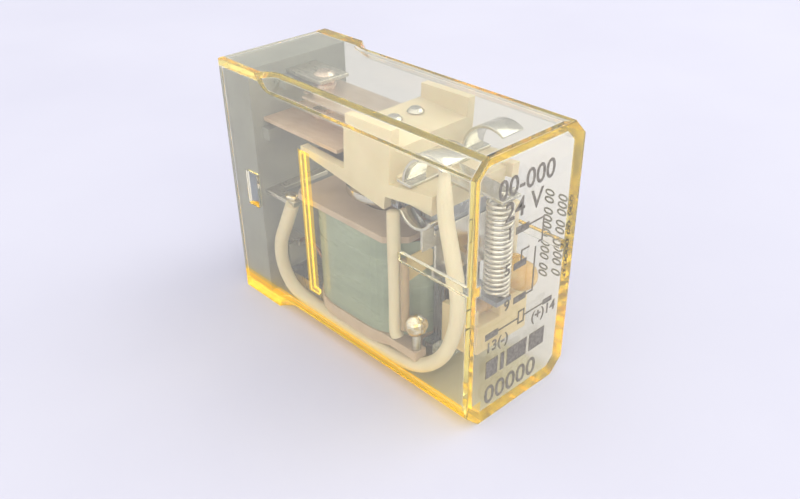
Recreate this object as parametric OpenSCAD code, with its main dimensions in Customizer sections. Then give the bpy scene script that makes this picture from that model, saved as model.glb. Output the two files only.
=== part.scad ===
// Plug-in power relay in a clear snap-on case, lying on its narrow side.
// +X points to the printed end, the blades point to -X, +Z is up and the origin is the
// middle of the footprint. Distances along X inside the modules start at the case mouth.

/* [Case] */
// Length of the case, from its mouth to the printed end
case_l = 35.6; // [35.4:0.1:37]
// Width of the case, across its two large sides
case_w = 14; // [14:0.1:15]
// Height of the case as it lies, along the column of blades
case_h = 27.5; // [27.5:0.1:28.5]
// Wall thickness of the clear case
wall = 1; // [0.9:0.05:1]
// Leg of the flat that breaks the four long edges
edge_chamfer = 1.6; // [1.3:0.1:1.8]
// Distance from the mouth to the run-out of those flats
chamfer_start = 6.3; // [5.5:0.1:8]
// Thickness of the ink on the printed end
print_t = 0.04; // [0.03:0.01:0.06]

/* [Base and blades] */
// Thickness of the grey base
base_t = 4.5; // [4.2:0.1:4.8]
// Gap between the base and the case walls
base_gap = 0.05; // [0.03:0.01:0.1]
// Length of the blades beyond the base
blade_l = 6.4; // [5.5:0.1:7]
// Width of the blades
blade_w = 4.7; // [4.2:0.1:4.8]
// Thickness of the blades
blade_t = 0.5; // [0.4:0.05:0.6]
// Height of the rest-contact blade above the floor
blade_nc_z = 22.6; // [22.4:0.1:23]
// Height of the work-contact blade above the floor
blade_no_z = 18.2; // [17.6:0.1:18.6]
// Height of the common blade above the floor
blade_com_z = 13.4; // [13.2:0.1:13.8]
// Height of the pair of coil blades above the floor
blade_coil_z = 7.4; // [7:0.1:7.6]
// Gap between the two coil blades
coil_blade_gap = 1.6; // [1.4:0.1:2]
// Width of the coil blades
coil_blade_w = 3; // [2.8:0.1:3.2]

/* [Coil] */
// Distance of the coil axis from the mouth
coil_x = 18.3; // [18.1:0.1:18.5]
// Radius of the round ends of the oval taped coil
coil_r = 5.55; // [5.4:0.05:5.6]
// Thickness of the tape
tape_t = 0.2; // [0.15:0.05:0.3]
// Radius of the iron core
core_r = 2.3; // [2.1:0.1:2.5]
// Radius of the pole head
pole_r = 4.2; // [3.8:0.1:4.3]
// Thickness of the bobbin foot
flange_t = 1.4; // [1.2:0.1:1.4]
// Thickness of the thin upper flange
top_flange_t = 0.7; // [0.6:0.05:0.8]

/* [Armature] */
// Angle that the armature opens to at rest
open_angle = 3.4; // [3:0.1:3.6]
// Thickness of the armature plate
armature_t = 1.2; // [1.1:0.1:1.2]
// Working gap left at the pole when it is pulled in
pole_gap = 0.05; // [0.04:0.01:0.08]
// Thickness of the contact leaf
leaf_t = 0.25; // [0.2:0.05:0.3]
// Width of the contact leaf
leaf_w = 4.8; // [4.4:0.1:5]
// Radius of the contact heads
contact_r = 1.15; // [1:0.05:1.25]
// Gap that keeps the resting contacts just apart
contact_rest_gap = 0.03; // [0.02:0.01:0.05]
// Gap between the open contacts
contact_gap = 0.95; // [0.9:0.05:1.05]

/* [Wiring] */
// Radius of the sleeve on the braided lead
pigtail_r = 0.68; // [0.6:0.02:0.7]
// Radius of the coil lead sleeves
lead_r = 0.65; // [0.5:0.05:0.65]
// Outside radius of the return spring
spring_r = 1.3; // [1.2:0.05:1.35]
// Wire radius of the return spring
spring_wire_r = 0.16; // [0.12:0.02:0.18]
// Number of turns of the return spring
spring_turns = 12; // [9:1:13]
// Radius of the indicator lamp
lamp_r = 1.5; // [1.3:0.1:1.5]

/* [Hidden] */
$fn = 48;
eps = 0.01;
mouth_x = (blade_l - case_l) / 2;
shell_l = case_l - print_t;
half_w = case_w / 2;
in_half_w = half_w - wall;
in_l = shell_l - wall;

contact_x = 8.4;

// Case details
runout_r = 3;
outer_cut = edge_chamfer / sqrt(2);
inner_cut = outer_cut + wall - wall * sqrt(2);
window_x = 2.6;
window_l = 1.9;
window_z = 12;
window_h = 3.8;
catch_out = 0.7;
guide_x = 12.2;
guide_w = 0.55;
guide_z = [5.4, 21];
guide_depth = 0.35;
guide_foot_l = 1.4;
guide_foot_h = 0.5;
rail_x = 26.1;
rail_z = 14.55;
rail_h = 0.9;
rail_depth = 0.5;

// Base details
catch_play = 0.15;
catch_lip = 0.1;
pad_l = 1.1;
no_pad_y = [-4.9, 3.6];
no_pad_z = [19.6, 20.9];
nc_pad_y = [-2.6, 2.6];
nc_pad_z = [24.1, 24.9];
coil_pad_l = 2;
coil_pad_y = [1.8, 4.4];
coil_pad_z = 5.2;
pocket_depth = 0.4;
row_pocket_z = [9.6, 15.6, 20.1];
row_pocket_h = 1.2;
row_pocket_half_w = 4.4;
side_pocket_y = [3.5, 4.9];
side_pocket_z = [2.6, 4.6];

// Blade details
tip_corner = 1;
slot_r = 0.55;
slot_x = [-4.6, -3.2];
nc_arm_half_w = 1.9;
nc_arm_end = contact_x + 1.6;
no_arm_y = [-4.6, 2.3];
no_arm_end = 16.2;
com_step_y = -4.4;
com_tab_x = 9.4;
com_tab_y = [-5.3, -3.9];
coil_tab_x = 7.6;
coil_tab_y = 3.1;
coil_tab_half_w = 0.7;

// Magnet frame
yoke_t = 1.4;
yoke_half_w = 3.4;
waist_half_w = 1.9;
waist_z = [4.6, 15.5];
yoke_foot_z = 1.6;
yoke_x = 26.6;
hinge_x = yoke_x + yoke_t / 2;
hinge_z = 17.5;
hinge_r = yoke_t / 2;
pole_z = hinge_z + hinge_r;
pole_t = 1;
shank_r = 1.6;
floor_z = yoke_foot_z + yoke_t;
coil_z0 = floor_z + flange_t;
coil_end_x = yoke_x - 0.2;
coil_span = coil_end_x - coil_r - coil_x;
flange_top = 15.8;
coil_z1 = flange_top - top_flange_t;
bobbin_wall = 0.8;
bobbin_r = core_r + bobbin_wall;
core_fit = 0.05;
flange_x = [10.1, 25.2];
flange_half_w = 5.6;
flange_corner = [0.7, 1.8];
foot_r = coil_r + 0.15;
lug_x = 32;
lug_y = -0.3;
lug_z = 10.5;
lug_t = 0.5;
lug_half_w = 1;
hook_hole_r = 0.4;
foot_x = 3;
pole_edge = 0.2;
post_x = 27.1;
post_y = 4.7;
post_r = 0.42;
post_z = 3.45;
post_h = 3.25;
lug_arm_x = 27.65;
lug_arm_z = 3.4;
lug_arm_y = [3.9, 5.4];

// Spring clip over the hinge
clip_t = 0.3;
clip_z = 12.2;
clip_arm_z = [16, 17];
clip_half_w = 5.1;
hoop_r = 2.2;
hoop_w = 1.5;
hoop_z = 20.1;
hoop_cut = 0.85;

// Armature group
armature_z = pole_z + pole_gap;
armature_top = armature_z + armature_t;
armature_x = 11.4;
armature_half_w = 4.2;
armature_neck_x = 24.2;
armature_end_x = 28.4;
card_half_w = 5.1;
bridge_x = [17.6, 23.8];
bridge_top = 23.9;
platform_z = 21.6;
platform_x = 28.4;
card_x = [11, 29.2];
cheek_z = [25.3, 25.8];
card_outline = [[card_x[0], 19.4], [card_x[0], 20], [bridge_x[0], 20.1],
                [bridge_x[0], cheek_z[0]], [bridge_x[1], cheek_z[1]], [bridge_x[1], 21],
                [card_x[1], 22.1], [card_x[1], 20.7], [24.2, 19.75], [23.3, 19.6], [23.2, 18.2]];
tail_t = 0.3;
tail_x = [24.6, 33];
tail_half_w = 1.2;
tail_hole_x = 32.2;
cross_x = 26.4;
cross_half_w = 4.9;
ear_y = 3.5;
ear_w = 2.8;
ear_x = 28.5;
ear_r = 3.3;
ear_t = 0.28;
ear_open = -28;
leaf_slit = 0.03;
leaf_nose_l = 1;
leaf_nose_cut = 1;

// Contacts
leaf_z = 23.8;
leaf_x = [7, 17.8];
leaf_root_x = 22.6;
head_h = 0.55;
nc_face_z = leaf_z + leaf_t + head_h + contact_rest_gap;
no_face_z = leaf_z - head_h - contact_gap;
fixed_head_h = 0.4;
crown_h = 0.12;
crown_share = 0.72;
tail_h = 0.3;
tail_share = 0.6;
arm_t = 0.4;
riser_x = 1.5;
shank_share = 0.5;
rivet_x = 20.2;
rivet_y = 1.4;
rivet_r = 0.5;
rivet_z = 21;
rivet_head_r = 0.9;
rivet_head_z = 24.4;
rivet_head_h = 0.35;

// Springs and leads
spring_z = [11.25, 21];
coil_wire_r = 0.18;
pigtail_end_r = 0.5;
solder_x = 8.2;
solder_y = -4.6;
solder_r = 0.65;
solder_h = 0.45;
brown_share = 0.68;
post_solder_r = 0.85;
post_solder_h = 0.5;
flag_z = 10.7;
flag_t = 0.18;
flag_turn = -30;
flag_outline = [[-1.6, 0], [1.2, 1.8], [1.2, 4], [-1.6, 2.8]];

// Indicator
lamp_rim = 0.25;
lamp_rim_h = 0.4;
lamp_body_h = 1.4;
lamp_lead_y = 0.64;
lamp_lead_r = 0.22;
holder_y = [-2.2, 5];
holder_z = [4.6, 7.8];
holder_end = 31.6;
holder_post_y = 1;
holder_post_z = 9.6;
holder_ear_y = [-2.2, -1.4];
holder_ear_z = 9.2;
holder_ear_end = 31;
holder_slot_x = [29, 30.4];
holder_slot_y = [1.6, 4.4];
holder_slot_z = 6;
resistor_at = [29.9, -1.2, 8.55];
resistor_r = 0.75;
resistor_l = 2.1;
resistor_cap_l = 0.55;
resistor_waist = 0.84;
lamp_y = 2.9;
lamp_z = 11.9;
lamp_x = 31;

// Wiring diagram on the printed end, across and up the face
line_w = 0.16;
bar_l = 1.7;
bar_h = 0.7;
short_bar_l = 1.3;
short_bar_h = 0.56;
blade_bars = [[-1.7, 19.2], [-1.7, 15.6], [-1.4, 11.9], [-5, 9.6]];
coil_bar = [3, 9.75];
nc_line_y = [-0.01, 2.1];
nc_line_z = [17.2, 19.5];
nc_tip_y = 1.5;
arm_line_y = 1.1;
arm_line_z = [12.2, 16.9];
arm_bar_y = 0.29;
no_line_y = [-0.8, 0.3];
no_line_z = [16.29, 17.36];
coil_line_y = [-3.31, 3.01];
coil_line_z = 9.9;
coil_box_y = [-0.6, 0.3];
coil_box_z = [9.3, 10.76];

// Centre line of the braided lead, from the common blade round to the armature
pigtail_route = [[8.9, -5.1, 13.6], [7.7, -5.2, 11], [6.3, -5.2, 8], [6.2, -5.15, 5.2],
                 [7.7, -5.1, 2.9], [11, -5.05, 2.15], [16, -5.05, 2.1], [21, -5.05, 2.1],
                 [25.5, -4.95, 2.2], [28.4, -4.7, 3.1], [30.8, -4.5, 5.8], [32, -4.35, 10],
                 [31.9, -4.35, 13.6], [31.2, -4.4, 17], [30.5, -4.4, 19.8], [30.3, -4.4, 21.5]];
// Short bare end of the same lead that moves with the armature
pigtail_end_route = [[30.25, -4.4, 22.25], [30.1, -4.3, 23.2], [29.7, -3.9, 24], [28.8, -3.4, 24.5]];
// Sleeved coil leads
cream_route = [[24.7, -5.25, 18.8], [24.7, -5.25, 14], [24.7, -5.25, 9], [24.7, -5.25, 5.9],
               [24.95, -5.2, 5.05]];
brown_route = [[25.8, -4.95, 14.2], [25.8, -4.95, 10], [25.8, -4.95, 6.2]];
white_route = [[29.4, 4.6, 18], [29.4, 4.6, 15], [29.45, 4.55, 11.4], [29.6, 4.5, 9.95]];
near_lead_route = [[7.2, -3.2, 7.85], [8.6, -3.3, 8.6], [10, -3.2, 8], [11.1, -3, 6.6],
                   [11.7, -2.8, 5.9]];
lamp_lead_route = [[31, 0, 0], [30.2, 0, -0.1], [29.7, 0, -0.9], [29.7, 0, -2.2]];

// Joins each point of a route to the next by a curve through all of them
function curve_at(a, b, c, d, t) =
    0.5 * (2 * b + (c - a) * t + (2 * a - 5 * b + 4 * c - d) * t * t
           + (3 * b - a - 3 * c + d) * t * t * t);
function route_point(route, i) = route[max(0, min(len(route) - 1, i))];
function curve(route, steps) = [
    for (i = [0 : len(route) - 2]) for (s = [0 : steps - 1])
        curve_at(route_point(route, i - 1), route[i], route[i + 1], route_point(route, i + 2),
                 s / steps),
    route[len(route) - 1]
];
function unit(v) = v / norm(v);
function direction(path, i) = unit(path[min(len(path) - 1, i + 1)] - path[max(0, i - 1)]);
function ring(centre, along, across, r, sides) =
    let (u = unit(cross(across, along)), v = cross(along, u))
    [for (k = [0 : sides - 1]) centre + r * (cos(360 * k / sides) * u + sin(360 * k / sides) * v)];

// Round bar along a path, as one closed skin
module tube(path, r, sides = 8, across = [0, 1, 0]) {
    rings = [for (i = [0 : len(path) - 1]) each ring(path[i], direction(path, i), across, r, sides)];
    last = (len(path) - 1) * sides;
    sides_of_tube = [
        for (i = [0 : len(path) - 2]) for (k = [0 : sides - 1])
            let (a = i * sides + k, b = i * sides + (k + 1) % sides)
            [a + sides, b + sides, b, a]
    ];
    polyhedron(points = rings, faces = concat(sides_of_tube, [[for (k = [0 : sides - 1]) k]],
               [[for (k = [sides - 1 : -1 : 0]) last + k]]), convexity = 8);
}

// Moves shapes drawn from the case mouth to their place around the origin
module from_mouth() {
    translate([mouth_x, 0, 0]) children();
}

// Block given by its two limits along each axis
module block(x, y, z) {
    translate([x[0], y[0], z[0]]) cube([x[1] - x[0], y[1] - y[0], z[1] - z[0]]);
}

// Turns shapes drawn with the armature pulled in to where it rests
module opened() {
    translate([hinge_x, 0, hinge_z]) rotate([0, open_angle, 0])
        translate([-hinge_x, 0, -hinge_z]) children();
}

// Upright slab from an outline in X and Z
module side_slab(outline, y) {
    translate([0, y[1], 0]) rotate([90, 0, 0]) linear_extrude(y[1] - y[0]) polygon(outline);
}

// Four bars that take off the long edges, with a rounded run-out near the mouth
module edge_bars(inset, cut) {
    reach = 3;
    ramp = sqrt(pow(runout_r, 2) - pow(runout_r - cut, 2));
    for (sy = [-1, 1]) for (sz = [-1, 1])
        translate([0, sy * (half_w - inset), case_h / 2 + sz * (case_h / 2 - inset)])
            rotate([atan2(-sy, sz), 0, 0]) {
                translate([chamfer_start + ramp, -reach, -cut]) cube([case_l, 2 * reach, 2 * reach]);
                translate([chamfer_start + ramp, 0, runout_r - cut]) rotate([90, 0, 0])
                    cylinder(r = runout_r, h = 2 * reach, center = true);
            }
}

// Room inside the case
module cavity() {
    difference() {
        block([-1, in_l], [-in_half_w, in_half_w], [wall, case_h - wall]);
        edge_bars(wall, inner_cut);
    }
}

// Angled guide, rail and stop moulded on the inside of one large wall
module wall_ribs() {
    block([guide_x, guide_x + guide_w], [-in_half_w - eps, -in_half_w + guide_depth], guide_z);
    block([guide_x, guide_x + guide_foot_l], [-in_half_w - eps, -in_half_w + guide_depth],
          [guide_z[0] - guide_foot_h, guide_z[0] + eps]);
    block([rail_x, in_l + eps], [-in_half_w - eps, -in_half_w + rail_depth],
          [rail_z, rail_z + rail_h]);
}

module housing() {
    color("khaki", 0.35) from_mouth() {
        difference() {
            block([0, shell_l], [-half_w, half_w], [0, case_h]);
            edge_bars(0, outer_cut);
            cavity();
            block([window_x, window_x + window_l], [-half_w - 1, half_w + 1],
                  [window_z, window_z + window_h]);
        }
        wall_ribs();
        mirror([0, 1, 0]) wall_ribs();
    }
}

// Flat blade with broken tip corners and an oblong hole
module blade(y, z) {
    w = y[1] - y[0];
    translate([0, (y[0] + y[1]) / 2, z]) difference() {
        linear_extrude(blade_t) polygon([[-blade_l, -w / 2 + tip_corner],
            [-blade_l + tip_corner, -w / 2], [riser_x + blade_t, -w / 2],
            [riser_x + blade_t, w / 2], [-blade_l + tip_corner, w / 2],
            [-blade_l, w / 2 - tip_corner]]);
        for (x = slot_x) translate([x, 0, -1]) cylinder(r = slot_r, h = 3);
        block(slot_x, [-slot_r, slot_r], [-1, 2]);
    }
}

// Blade with a riser inside the base and an arm that reaches over to its contact
module contact_terminal(blade_z, arm_z, arm_y, arm_end) {
    blade([-blade_w / 2, blade_w / 2], blade_z);
    block([riser_x, riser_x + blade_t], [-blade_w / 2, blade_w / 2], [blade_z, arm_z + arm_t]);
    block([riser_x, arm_end], arm_y, [arm_z, arm_z + arm_t]);
}

module blade_nc() {
    color("silver") from_mouth()
        contact_terminal(blade_nc_z, nc_face_z + fixed_head_h, [-nc_arm_half_w, nc_arm_half_w],
                         nc_arm_end);
}

module blade_no() {
    color("silver") from_mouth()
        contact_terminal(blade_no_z, no_face_z - fixed_head_h - arm_t, no_arm_y, no_arm_end);
}

module blade_com() {
    color("silver") from_mouth() {
        blade([-blade_w / 2, blade_w / 2], blade_com_z);
        block([riser_x, base_t + pad_l], [com_step_y, blade_w / 2],
              [blade_com_z, blade_com_z + blade_t]);
        block([base_t, com_tab_x], com_tab_y, [blade_com_z, blade_com_z + blade_t]);
    }
}

module coil_blade(side) {
    inner = coil_blade_gap / 2;
    outer = inner + coil_blade_w;
    blade(side > 0 ? [inner, outer] : [-outer, -inner], blade_coil_z);
    tab = side * coil_tab_y;
    block([riser_x, coil_tab_x], [tab - coil_tab_half_w, tab + coil_tab_half_w],
          [blade_coil_z, blade_coil_z + blade_t]);
}

module blade_coil_near() {
    color("silver") from_mouth() coil_blade(-1);
}

module blade_coil_far() {
    color("silver") from_mouth() coil_blade(1);
}

// Wedge on each side of the base that snaps into the case windows
module base_catch() {
    x0 = window_x + catch_play;
    x1 = window_x + window_l - catch_play;
    root = -in_half_w + base_gap + eps;
    translate([0, 0, window_z + catch_play]) linear_extrude(window_h - 2 * catch_play)
        polygon([[x0, root], [x0, -in_half_w - catch_out], [x1, -in_half_w - catch_lip], [x1, root]]);
}

module base_block() {
    side = in_half_w - base_gap;
    block([0, base_t], [-side, side], [wall + base_gap, case_h - wall - base_gap]);
    // Raised pads that carry the fixed contacts and the coil end
    block([base_t - eps, base_t + pad_l], no_pad_y, no_pad_z);
    block([base_t - eps, base_t + pad_l], nc_pad_y, nc_pad_z);
    for (side = [0, 1]) mirror([0, side, 0])
        block([base_t - eps, base_t + coil_pad_l], coil_pad_y, [coil_pad_z, blade_coil_z]);
}

module base() {
    color("dimgray") from_mouth() difference() {
        union() {
            base_block();
            base_catch();
            mirror([0, 1, 0]) base_catch();
        }
        translate([-mouth_x, 0, 0]) {
            blade_nc();
            blade_no();
            blade_com();
            blade_coil_near();
            blade_coil_far();
            yoke();
        }
        // Shallow pockets in the mating face, between the rows of blades
        for (z = row_pocket_z)
            block([-1, pocket_depth], [-row_pocket_half_w, row_pocket_half_w],
                  [z, z + row_pocket_h]);
        for (side = [0, 1]) mirror([0, side, 0])
            block([-1, pocket_depth], side_pocket_y, side_pocket_z);
    }
}

// Contact head with a softly domed face, standing up from its seat
module contact_head(h) {
    cylinder(r = contact_r, h = h - crown_h);
    translate([0, 0, h - crown_h - eps])
        cylinder(r1 = contact_r, r2 = contact_r * crown_share, h = crown_h + eps);
}

module nc_contact() {
    color("silver") from_mouth() translate([contact_x, 0, 0]) {
        translate([0, 0, nc_face_z + fixed_head_h]) mirror([0, 0, 1]) contact_head(fixed_head_h);
        translate([0, 0, nc_face_z + fixed_head_h + arm_t])
            cylinder(r1 = contact_r, r2 = contact_r * tail_share, h = tail_h);
    }
}

module no_contact() {
    color("silver") from_mouth() translate([contact_x, 0, 0]) {
        translate([0, 0, no_face_z - fixed_head_h]) contact_head(fixed_head_h);
        translate([0, 0, no_face_z - fixed_head_h - arm_t]) mirror([0, 0, 1])
            cylinder(r1 = contact_r, r2 = contact_r * tail_share, h = tail_h);
    }
}

// L-shaped iron frame whose rounded upper edge carries the armature
module yoke() {
    color("lightsteelblue") from_mouth() difference() {
        union() {
            block([foot_x, yoke_x + yoke_t], [-yoke_half_w, yoke_half_w],
                  [yoke_foot_z, yoke_foot_z + yoke_t]);
            block([yoke_x, yoke_x + yoke_t], [-yoke_half_w, yoke_half_w], [yoke_foot_z, waist_z[0]]);
            block([yoke_x, yoke_x + yoke_t], [-waist_half_w, waist_half_w], [yoke_foot_z, hinge_z]);
            block([yoke_x, yoke_x + yoke_t], [-yoke_half_w, yoke_half_w], [waist_z[1], hinge_z]);
            translate([hinge_x, 0, hinge_z]) rotate([90, 0, 0])
                cylinder(r = hinge_r, h = 2 * yoke_half_w, center = true);
            block([yoke_x + yoke_t - eps, lug_x + lug_half_w],
                  [lug_y - lug_half_w, lug_y + lug_half_w], [lug_z, lug_z + lug_t]);
        }
        translate([coil_x, 0, 0]) cylinder(r = shank_r, h = floor_z + 1);
        translate([lug_x, lug_y, lug_z - 1]) cylinder(r = hook_hole_r, h = 3);
    }
}

module core() {
    color("gainsboro") from_mouth() translate([coil_x, 0, 0]) {
        translate([0, 0, yoke_foot_z]) cylinder(r = shank_r, h = yoke_t + eps);
        translate([0, 0, floor_z]) cylinder(r = core_r, h = pole_z - pole_t - floor_z);
        translate([0, 0, pole_z - pole_t - eps]) cylinder(r = pole_r, h = pole_t - pole_edge + eps);
        translate([0, 0, pole_z - pole_edge - eps])
            cylinder(r1 = pole_r, r2 = pole_r - pole_edge, h = pole_edge + eps);
    }
}

// Oval column with round ends, as long as the coil
module oval(r, h) {
    hull() for (dx = [-coil_span, coil_span]) translate([dx, 0, 0]) cylinder(r = r, h = h);
}

module top_flange() {
    c = flange_corner[0];
    d = flange_corner[1];
    x0 = flange_x[0];
    x1 = flange_x[1];
    w = flange_half_w;
    linear_extrude(top_flange_t) polygon([[x0 + c, -w], [x1 - d, -w], [x1, -w + d], [x1, w - d],
        [x1 - d, w], [x0 + c, w], [x0, w - c], [x0, -w + c]]);
}

module bobbin() {
    color("rosybrown") from_mouth() difference() {
        union() {
            translate([coil_x, 0, floor_z]) oval(foot_r, flange_t);
            for (side = [0, 1]) mirror([0, side, 0])
                block([coil_x, lug_arm_x], lug_arm_y, [lug_arm_z, floor_z + flange_t]);
            translate([coil_x, 0, floor_z]) cylinder(r = bobbin_r, h = flange_top - floor_z);
            translate([0, 0, coil_z1]) top_flange();
        }
        translate([coil_x, 0, 0]) cylinder(r = core_r + core_fit, h = case_h);
        for (y = [-post_y, post_y]) translate([post_x, y, lug_arm_z - 1])
            cylinder(r = post_r, h = post_h);
    }
}

module winding() {
    color("chocolate") from_mouth() translate([coil_x, 0, coil_z0]) difference() {
        oval(coil_r - tape_t, coil_z1 - coil_z0);
        translate([0, 0, -1]) cylinder(r = bobbin_r, h = case_h);
    }
}

module coil_tape() {
    color("darkseagreen") from_mouth() translate([coil_x, 0, coil_z0]) difference() {
        oval(coil_r, coil_z1 - coil_z0);
        translate([0, 0, -1]) oval(coil_r - tape_t, case_h);
    }
}

module coil_leads() {
    color("sienna") from_mouth() for (side = [0, 1]) mirror([0, side, 0])
        tube(curve(near_lead_route, 5), coil_wire_r, 8, [0, 0, 1]);
}

// Bent spring plate behind the yoke with a hoop on each side of the hinge
module hinge_clip() {
    back = yoke_x + yoke_t;
    t = clip_t;
    inner = clip_half_w - hoop_w;
    color("whitesmoke") from_mouth() {
        block([back, back + t], [-yoke_half_w, yoke_half_w], [clip_z, hinge_z]);
        for (side = [0, 1]) mirror([0, side, 0]) {
            block([back, back + t], [yoke_half_w - eps, clip_half_w], clip_arm_z);
            block([back, back + t], [inner, clip_half_w],
                  [clip_arm_z[1] - eps, hoop_z - hoop_r + t]);
            translate([hinge_x, clip_half_w, hoop_z]) rotate([90, 0, 0]) difference() {
                cylinder(r = hoop_r, h = hoop_w);
                translate([0, 0, -1]) cylinder(r = hoop_r - t, h = 2 * hoop_w);
                translate([-2 * hoop_r, -hoop_cut, -1]) cube([4 * hoop_r, 4 * hoop_r, 2 * hoop_w]);
            }
        }
    }
}

function spring_point(i, steps, z0, z1) =
    let (turn = i / steps, r = spring_r - spring_wire_r)
    [lug_x + r * cos(360 * spring_turns * turn), lug_y + r * sin(360 * spring_turns * turn),
     z0 + (z1 - z0) * turn];

module return_spring() {
    steps = spring_turns * 12;
    color("silver") from_mouth()
        tube([for (i = [0 : steps]) spring_point(i, steps, spring_z[0], spring_z[1])],
             spring_wire_r, 6, [0, 0, 1]);
}

module pigtail_sleeve() {
    color("antiquewhite") from_mouth() tube(curve(pigtail_route, 5), pigtail_r, 8);
}

module pigtail_solder() {
    color("silver") from_mouth() translate([solder_x, solder_y, blade_com_z + blade_t])
        cylinder(r1 = solder_r, r2 = solder_r / 2, h = solder_h);
}

module pigtail_end() {
    color("antiquewhite") from_mouth() tube(curve(pigtail_end_route, 4), pigtail_end_r, 8);
}

module lead_sleeve_cream() {
    color("antiquewhite") from_mouth() tube(curve(cream_route, 3), lead_r, 8, [0, 1, 0]);
}

module lead_sleeve_brown() {
    color("rosybrown") from_mouth() tube(curve(brown_route, 3), lead_r * brown_share, 8, [0, 1, 0]);
}

module lead_sleeve_white() {
    color("ivory") from_mouth() tube(curve(white_route, 3), lead_r, 8, [0, 1, 0]);
}

// Folded end of the tape over the coil's finish lead
module lead_flag() {
    color("wheat") from_mouth() translate([coil_x + coil_span, 0, flag_z]) rotate([0, 0, flag_turn])
        rotate([90, 0, 90]) translate([0, 0, coil_r]) linear_extrude(flag_t) polygon(flag_outline);
}

module coil_posts() {
    color("silver") from_mouth() for (y = [-post_y, post_y])
        translate([post_x, y, post_z]) cylinder(r = post_r, h = post_h);
}

module post_solder() {
    top = post_z + post_h;
    color("gainsboro") from_mouth() for (y = [-post_y, post_y]) translate([post_x, y, top]) {
        cylinder(r1 = post_r, r2 = post_solder_r, h = post_solder_h);
        translate([0, 0, post_solder_h - eps])
            cylinder(r1 = post_solder_r, r2 = post_r, h = post_solder_h + eps);
    }
}

// Moulded seat for the indicator lamp, against the back of the yoke
module lamp_holder() {
    back = yoke_x + yoke_t;
    top = holder_z[1] - eps;
    color("wheat") from_mouth() difference() {
        union() {
            block([back, holder_end], holder_y, holder_z);
            block([back, holder_end], [holder_post_y, holder_y[1]], [top, holder_post_z]);
            block([back, holder_ear_end], holder_ear_y, [top, holder_ear_z]);
        }
        block(holder_slot_x, holder_slot_y, [holder_slot_z, holder_post_z + 1]);
    }
}

module lamp_lens() {
    color("gold", 0.7) from_mouth() translate([lamp_x, lamp_y, lamp_z]) rotate([0, 90, 0])
        rotate_extrude() union() {
            square([lamp_r + lamp_rim, lamp_rim_h]);
            square([lamp_r, lamp_body_h]);
            translate([0, lamp_body_h]) intersection() {
                circle(r = lamp_r);
                square([lamp_r, lamp_r]);
            }
        }
}

module lamp_leads() {
    color("silver") from_mouth() for (dy = [-lamp_lead_y, lamp_lead_y])
        translate([0, lamp_y + dy, lamp_z])
            tube(curve(lamp_lead_route, 4), lamp_lead_r, 6, [0, 1, 0]);
}

module lamp_resistor() {
    color("tan") from_mouth() translate(resistor_at) rotate([-90, 0, 0]) {
        cylinder(r = resistor_r, h = resistor_cap_l);
        cylinder(r = resistor_r * resistor_waist, h = resistor_l);
        translate([0, 0, resistor_l - resistor_cap_l]) cylinder(r = resistor_r, h = resistor_cap_l);
    }
}

// Flat mark on the printed end, given by its limits across and up the face
module ink(y, z) {
    block([shell_l, case_l], y, z);
}

// Solid bar that stands for a blade
module ink_bar(y, z, l = bar_l, h = bar_h) {
    ink([y, y + l], [z, z + h]);
}

module label_print() {
    color("dimgray") from_mouth() {
        for (bar = blade_bars) ink_bar(bar[0], bar[1]);
        ink_bar(coil_bar[0], coil_bar[1], short_bar_l, short_bar_h);
        // Rest contact line, down to the changeover arm
        ink([nc_line_y[0], nc_line_y[1]], [nc_line_z[1], nc_line_z[1] + line_w]);
        ink([nc_line_y[1] - line_w, nc_line_y[1]], nc_line_z);
        ink([nc_tip_y, nc_line_y[1]], [nc_line_z[0], nc_line_z[0] + line_w]);
        // Changeover arm
        ink([arm_line_y, arm_line_y + line_w], arm_line_z);
        ink([arm_bar_y, arm_line_y + line_w], [arm_line_z[0], arm_line_z[0] + line_w]);
        // Work contact line
        ink([no_line_y[0], no_line_y[0] + line_w], no_line_z);
        ink(no_line_y, [no_line_z[1] - line_w, no_line_z[1]]);
        // Coil symbol between the coil bars
        ink([coil_line_y[0], coil_box_y[0]], [coil_line_z, coil_line_z + line_w]);
        ink([coil_box_y[1], coil_line_y[1]], [coil_line_z, coil_line_z + line_w]);
        for (z = [coil_box_z[0], coil_box_z[1] - line_w]) ink(coil_box_y, [z, z + line_w]);
        for (y = [coil_box_y[0], coil_box_y[1] - line_w]) ink([y, y + line_w], coil_box_z);
    }
}

module armature() {
    color("lightslategray") from_mouth() opened() {
        block([armature_x, armature_neck_x], [-armature_half_w, armature_half_w],
              [armature_z, armature_top]);
        block([armature_neck_x - eps, armature_end_x], [-yoke_half_w, yoke_half_w],
              [armature_z, armature_top]);
    }
}

// Side wall of the moulded card, with a low rail to each side of a tall cheek
module card_side(y) {
    side_slab(card_outline, y);
}

// Holes for the two rivets that hold the leaf on the card
module rivet_holes() {
    for (y = [-rivet_y, rivet_y]) translate([rivet_x, y, rivet_z]) cylinder(r = rivet_r, h = 10);
}

module armature_card() {
    color("antiquewhite") from_mouth() difference() {
        opened() {
            card_side([-card_half_w, -armature_half_w]);
            card_side([armature_half_w, card_half_w]);
            block([bridge_x[0], bridge_x[1]], [-armature_half_w - eps, armature_half_w + eps],
                  [armature_top, bridge_top]);
            block([bridge_x[1] - eps, platform_x], [-armature_half_w - eps, armature_half_w + eps],
                  [armature_top, platform_z]);
        }
        block([0, leaf_root_x], [-leaf_w / 2, leaf_w / 2], [leaf_z, leaf_z + leaf_t]);
        rivet_holes();
    }
}

// Plate that hooks the return spring, fixed on the card's platform
module tail_plate() {
    color("lightgray") from_mouth() opened() difference() {
        union() {
            block(tail_x, [lug_y - tail_half_w, lug_y + tail_half_w],
                  [platform_z, platform_z + tail_t]);
            block([tail_x[0], cross_x], [-cross_half_w, cross_half_w],
                  [platform_z, platform_z + tail_t]);
        }
        translate([tail_hole_x, lug_y, platform_z - 1]) cylinder(r = hook_hole_r, h = 3);
    }
}

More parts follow.
